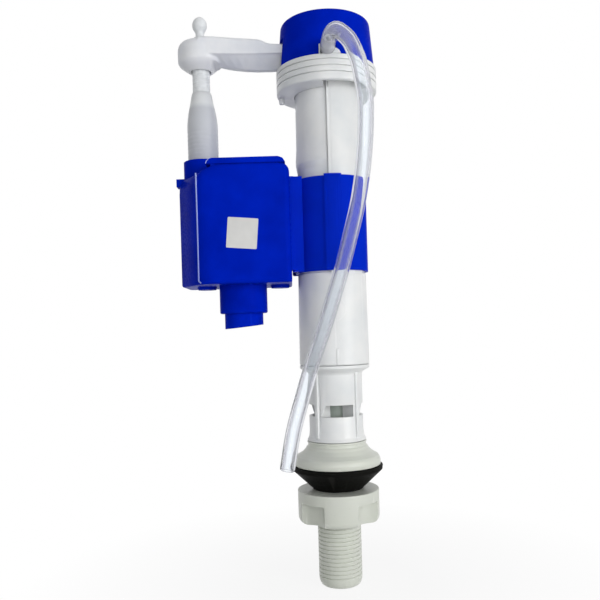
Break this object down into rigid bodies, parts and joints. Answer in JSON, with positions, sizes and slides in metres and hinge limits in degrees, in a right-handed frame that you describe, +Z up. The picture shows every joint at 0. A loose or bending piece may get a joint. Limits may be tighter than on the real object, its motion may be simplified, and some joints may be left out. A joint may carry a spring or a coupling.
{
  "type": "toilet fill valve",
  "caption": "Height-adjustable toilet tank fill valve with a threaded inlet shank, telescoping riser, lever, float in a side chamber and a hanging refill hose.",
  "frame": {"origin": "on the valve's axis, in the plane where the cone gasket meets the lock nut (underside of the tank floor)", "axes": "+Z up along the riser, -X towards the float chamber, -Y towards the side the refill hose leaves"},
  "size_m": [0.0981, 0.0759, 0.2772],
  "materials": {
    "shank_plastic": "satin",
    "black_rubber": "matte",
    "milky_plastic": "satin",
    "white_plastic": "satin",
    "blue_plastic": "gloss",
    "clear_hose": "gloss"
  },
  "bodies": {
    "base": {"base_shank": "shank_plastic", "inlet_strainer": "milky_plastic", "foot_o_ring": "black_rubber", "cone_gasket": "black_rubber", "supply_tube": "milky_plastic", "tube_o_ring": "black_rubber", "outlet_cage": "white_plastic"},
    "nut": {"lock_nut": "shank_plastic"},
    "riser": {"riser_sleeve": "white_plastic", "drop_tube": "milky_plastic", "head_body": "white_plastic", "valve_cover": "milky_plastic", "refill_nipple": "white_plastic", "refill_hose": "clear_hose", "lever_pin": "white_plastic", "float_chamber": "blue_plastic", "chamber_lid": "blue_plastic", "spout_insert": "blue_plastic", "clip_bracket": "blue_plastic"},
    "cap": {"cap": "blue_plastic"},
    "diaphragm": {"diaphragm": "black_rubber"},
    "lever": {"lever_arm": "milky_plastic", "pilot_seal": "black_rubber"},
    "float": {"float": "milky_plastic", "float_stem": "milky_plastic"},
    "screw": {"adjusting_screw": "milky_plastic"},
    "check": {"check_disc": "milky_plastic"}
  },
  "joints": [
    {"name": "nut_turn", "type": "hinge", "parent": "base", "child": "nut", "pos_m": [0, 0, -0.008], "axis": [0, 0, 1], "continuous": true},
    {"name": "riser_lift", "type": "slide", "parent": "base", "child": "riser", "axis": [0, 0, 1], "range_m": [0, 0.04]},
    {"name": "cap_lift", "type": "slide", "parent": "riser", "child": "cap", "axis": [0, 0, 1], "range_m": [0, 0.03]},
    {"name": "lever_swing", "type": "hinge", "parent": "riser", "child": "lever", "pos_m": [-0.0165, 0, 0.21], "axis": [0, 1, 0], "range_deg": [0, 12]},
    {"name": "float_rise", "type": "slide", "parent": "riser", "child": "float", "axis": [0, 0, 1], "range_m": [0, 0.00923]},
    {"name": "diaphragm_close", "type": "slide", "parent": "riser", "child": "diaphragm", "axis": [0, 0, -1], "range_m": [0, 0.0015]},
    {"name": "screw_turn", "type": "hinge", "parent": "float", "child": "screw", "pos_m": [-0.0608, 0, 0.2], "axis": [0, 0, 1], "continuous": true},
    {"name": "check_rise", "type": "slide", "parent": "riser", "child": "check", "axis": [0, 0, 1], "range_m": [0, 0.004]}
  ],
  "couplings": [
    {"joint": "float_rise", "follows": "lever_swing", "m_per_rad": 0.043977},
    {"joint": "diaphragm_close", "follows": "lever_swing", "m_per_rad": 0.007157}
  ]
}
